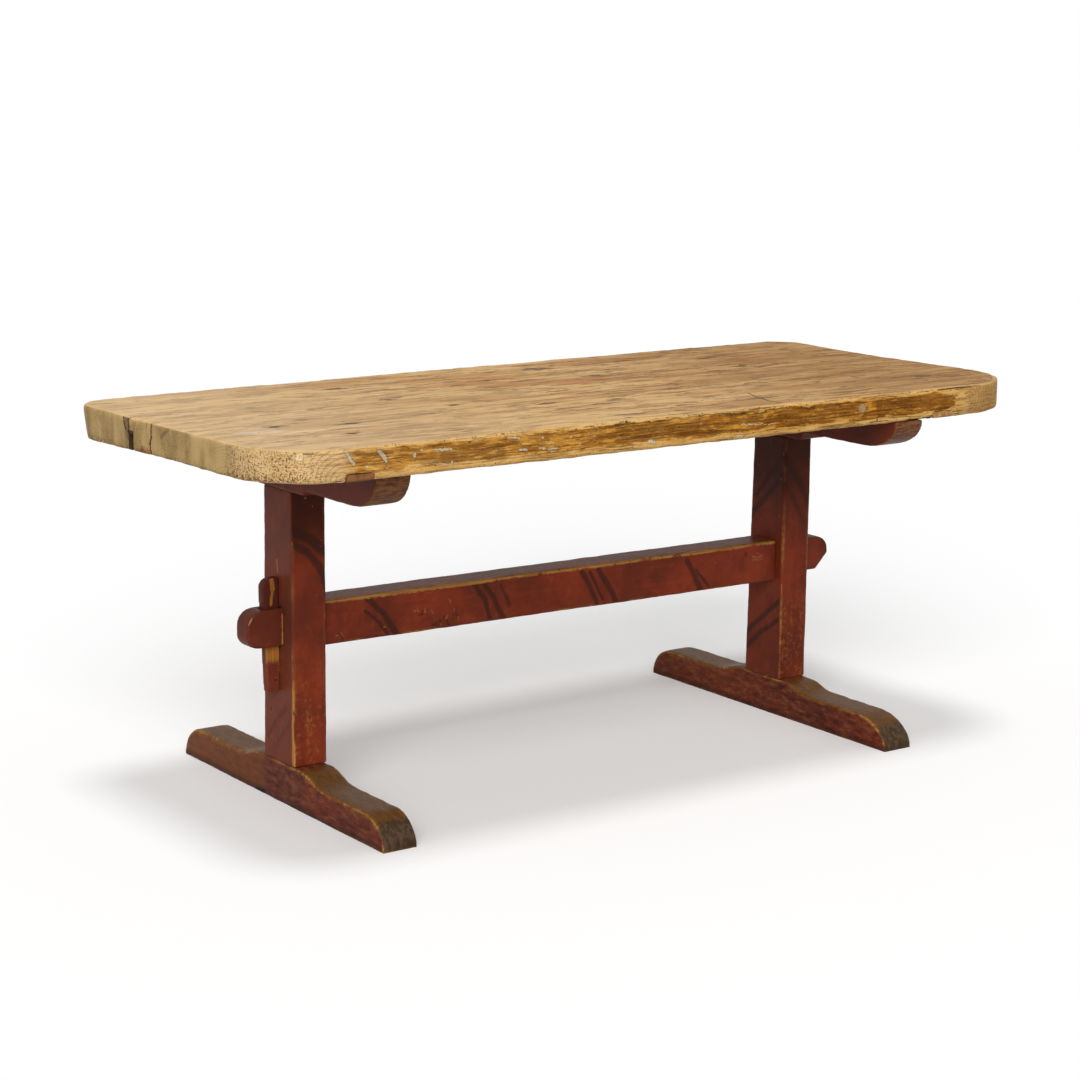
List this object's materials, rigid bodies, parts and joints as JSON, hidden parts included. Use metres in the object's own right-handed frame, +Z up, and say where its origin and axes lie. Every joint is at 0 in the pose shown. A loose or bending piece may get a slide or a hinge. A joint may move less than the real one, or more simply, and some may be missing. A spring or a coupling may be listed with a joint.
{
  "type": "trestle table",
  "caption": "Rustic knock-down trestle table: thick scrubbed plank top on painted post-and-sled trestles, tied by a stretcher with wedged through tenons.",
  "frame": {"origin": "on the floor under the middle of the top", "axes": "+Z up, +X along the table, -Y towards the front long edge"},
  "size_m": [1.8395, 0.7904, 0.75],
  "materials": {
    "scrubbed_pine": "scrubbed, dry, worn",
    "red_painted_pine": "old oxblood paint, satin, worn to the wood on the arrises",
    "raw_pine": "unfinished"
  },
  "bodies": {
    "base": {"stretcher": "red_painted_pine", "left_foot": "red_painted_pine", "left_post": "red_painted_pine", "left_bearer": "red_painted_pine", "left_foot_tenon_wedges": "raw_pine", "left_bearer_tenon_wedges": "raw_pine", "left_top_pins": "raw_pine", "right_foot": "red_painted_pine", "right_post": "red_painted_pine", "right_bearer": "red_painted_pine", "right_foot_tenon_wedges": "raw_pine", "right_bearer_tenon_wedges": "raw_pine", "right_top_pins": "raw_pine"},
    "top": {"top_board_front": "scrubbed_pine", "top_board_front_middle": "scrubbed_pine", "top_board_back_middle": "scrubbed_pine", "top_board_back": "scrubbed_pine", "left_top_key": "scrubbed_pine", "right_top_key": "scrubbed_pine", "front_seam_dowels": "raw_pine", "middle_seam_dowels": "raw_pine", "back_seam_dowels": "raw_pine", "edge_pegs": "scrubbed_pine"},
    "left_wedge": {"left_tusk_wedge": "red_painted_pine"},
    "right_wedge": {"right_tusk_wedge": "red_painted_pine"}
  },
  "joints": [
    {"name": "top_lift", "type": "slide", "parent": "base", "child": "top", "axis": [0, 0, 1], "range_m": [0, 0.06]},
    {"name": "left_wedge_lift", "type": "slide", "parent": "base", "child": "left_wedge", "axis": [0, 0, 1], "range_m": [0, 0.17]},
    {"name": "right_wedge_lift", "type": "slide", "parent": "base", "child": "right_wedge", "axis": [0, 0, 1], "range_m": [0, 0.17]}
  ]
}
